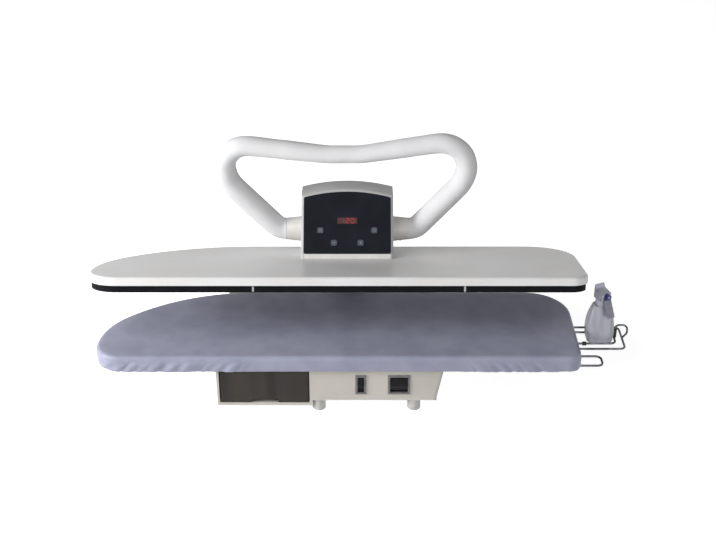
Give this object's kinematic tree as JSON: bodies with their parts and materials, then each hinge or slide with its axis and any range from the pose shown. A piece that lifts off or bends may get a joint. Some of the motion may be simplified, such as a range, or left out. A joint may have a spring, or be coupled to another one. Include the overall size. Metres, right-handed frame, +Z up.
{
  "type": "steam ironing press",
  "caption": "Table-top steam ironing press: padded board, sprung heated head on a rear hinge, loop handle, front water tank, wire rack and spray bottle.",
  "frame": {"origin": "on the table under the middle of the outer box, with the head at rest in its open position", "axes": "+X to the user's right along the board, +Y to the back, +Z up"},
  "size_m": [1.1562, 0.553, 0.5318],
  "materials": {
    "cast_plate": "satin",
    "steel": "zinc plated",
    "spring_steel": "oiled",
    "band_black": "moulded",
    "clip_pale": "moulded",
    "head_enamel": "satin moulded",
    "console_grey": "moulded",
    "panel_black": "gloss",
    "display_red": "smoked red",
    "board_green": "laminate",
    "button_slate": "gloss",
    "grip_white": "soft foam",
    "socket_grey": "moulded",
    "base_cream": "moulded",
    "cover_cloth": "coated woven",
    "pad_foam": "felt",
    "elastic": "knitted",
    "smoked": "smoked",
    "float_white": "moulded",
    "valve_black": "moulded",
    "pump_grey": "moulded",
    "hose_clear": "silicone",
    "switch_black": "gloss",
    "bezel_grey": "moulded",
    "inlet_black": "moulded",
    "pin_brass": "plated",
    "foot_grey": "moulded",
    "chrome_wire": "polished",
    "sleeve_black": "moulded",
    "bottle_lilac": "translucent plastic",
    "spray_lilac": "gloss",
    "trigger_slate": "gloss",
    "bush_bronze": "sintered"
  },
  "bodies": {
    "base": {"board_pan": "steel", "board_pad": "pad_foam", "board_cover": "cover_cloth", "cover_elastic": "elastic", "pan_supports": "steel", "base_housing": "base_cream", "rear_panel": "base_cream", "base_plate": "steel", "chassis_rails": "steel", "hinge_brackets": "steel", "hinge_shaft": "steel", "shaft_clips": "steel", "tank_bay": "base_cream", "valve_seat": "valve_black", "water_pump": "pump_grey", "water_lines": "hose_clear", "relay_board": "board_green", "mains_bezel": "bezel_grey", "steam_bezel": "bezel_grey", "mains_inlet": "inlet_black", "inlet_pins": "pin_brass", "feet": "foot_grey", "foot_screws": "steel", "rack_straps": "steel", "rack_frame": "chrome_wire", "rack_sleeves": "sleeve_black"},
    "head": {"heating_plate": "cast_plate", "heating_element": "spring_steel", "edge_band": "band_black", "band_clips": "clip_pale", "head_cover": "head_enamel", "head_spine": "steel", "arm_bolts": "steel", "steam_manifold": "cast_plate", "thermal_cutout": "inlet_black", "steam_hose": "hose_clear", "control_housing": "console_grey", "control_panel": "panel_black", "display_window": "display_red", "control_board": "board_green", "handle_core": "steel", "handle_grip": "grip_white", "handle_sockets": "socket_grey", "handle_screws": "spring_steel", "lift_arm": "steel", "arm_cover": "base_cream", "hinge_bushes": "bush_bronze", "lift_springs": "spring_steel"},
    "steam_button": {"button_steam": "button_slate"},
    "minus_button": {"button_minus": "button_slate"},
    "plus_button": {"button_plus": "button_slate"},
    "power_button": {"button_power": "button_slate"},
    "mains_switch": {"mains_rocker": "switch_black"},
    "steam_switch": {"steam_rocker": "switch_black"},
    "tank": {"water_tank": "smoked", "tank_valve": "valve_black"},
    "level_float": {"tank_float": "float_white"},
    "bottle": {"bottle_body": "bottle_lilac", "bottle_head": "spray_lilac"},
    "trigger": {"bottle_trigger": "trigger_slate"}
  },
  "joints": [
    {"name": "head_lift", "type": "hinge", "parent": "base", "child": "head", "pos_m": [0, 0.2405, 0.054], "axis": [1, 0, 0], "range_deg": [0, 15], "stiffness_Nm_per_rad": 30, "springref_deg": -88.81},
    {"name": "press_steam", "type": "slide", "parent": "head", "child": "steam_button", "axis": [0, 0.766, -0.6428], "range_m": [0, 0.0008], "stiffness_N_per_m": 600, "springref_m": -0.0002},
    {"name": "press_minus", "type": "slide", "parent": "head", "child": "minus_button", "axis": [0, 0.766, -0.6428], "range_m": [0, 0.0008], "stiffness_N_per_m": 600, "springref_m": -0.0002},
    {"name": "press_plus", "type": "slide", "parent": "head", "child": "plus_button", "axis": [0, 0.766, -0.6428], "range_m": [0, 0.0008], "stiffness_N_per_m": 600, "springref_m": -0.0002},
    {"name": "press_power", "type": "slide", "parent": "head", "child": "power_button", "axis": [0, 0.766, -0.6428], "range_m": [0, 0.0008], "stiffness_N_per_m": 600, "springref_m": -0.0002},
    {"name": "rock_mains", "type": "hinge", "parent": "base", "child": "mains_switch", "pos_m": [0.07325, -0.261, 0.068], "axis": [1, 0, 0], "range_deg": [-16, 0]},
    {"name": "rock_steam", "type": "hinge", "parent": "base", "child": "steam_switch", "pos_m": [-0.00775, -0.261, 0.068], "axis": [1, 0, 0], "range_deg": [-16, 0]},
    {"name": "tank_pull", "type": "slide", "parent": "base", "child": "tank", "axis": [0, -1, 0], "range_m": [0, 0.215]},
    {"name": "float_rise", "type": "slide", "parent": "tank", "child": "level_float", "axis": [0, 0, 1], "range_m": [0, 0.045]},
    {"name": "bottle_lift", "type": "slide", "parent": "base", "child": "bottle", "axis": [0, 0, 1], "range_m": [0, 0.2]},
    {"name": "trigger_pull", "type": "hinge", "parent": "bottle", "child": "trigger", "pos_m": [0.51819, -0.14252, 0.2083], "axis": [0.9063, 0.4226, 0], "range_deg": [0, 12], "stiffness_Nm_per_rad": 0.3, "springref_deg": -5.73}
  ]
}
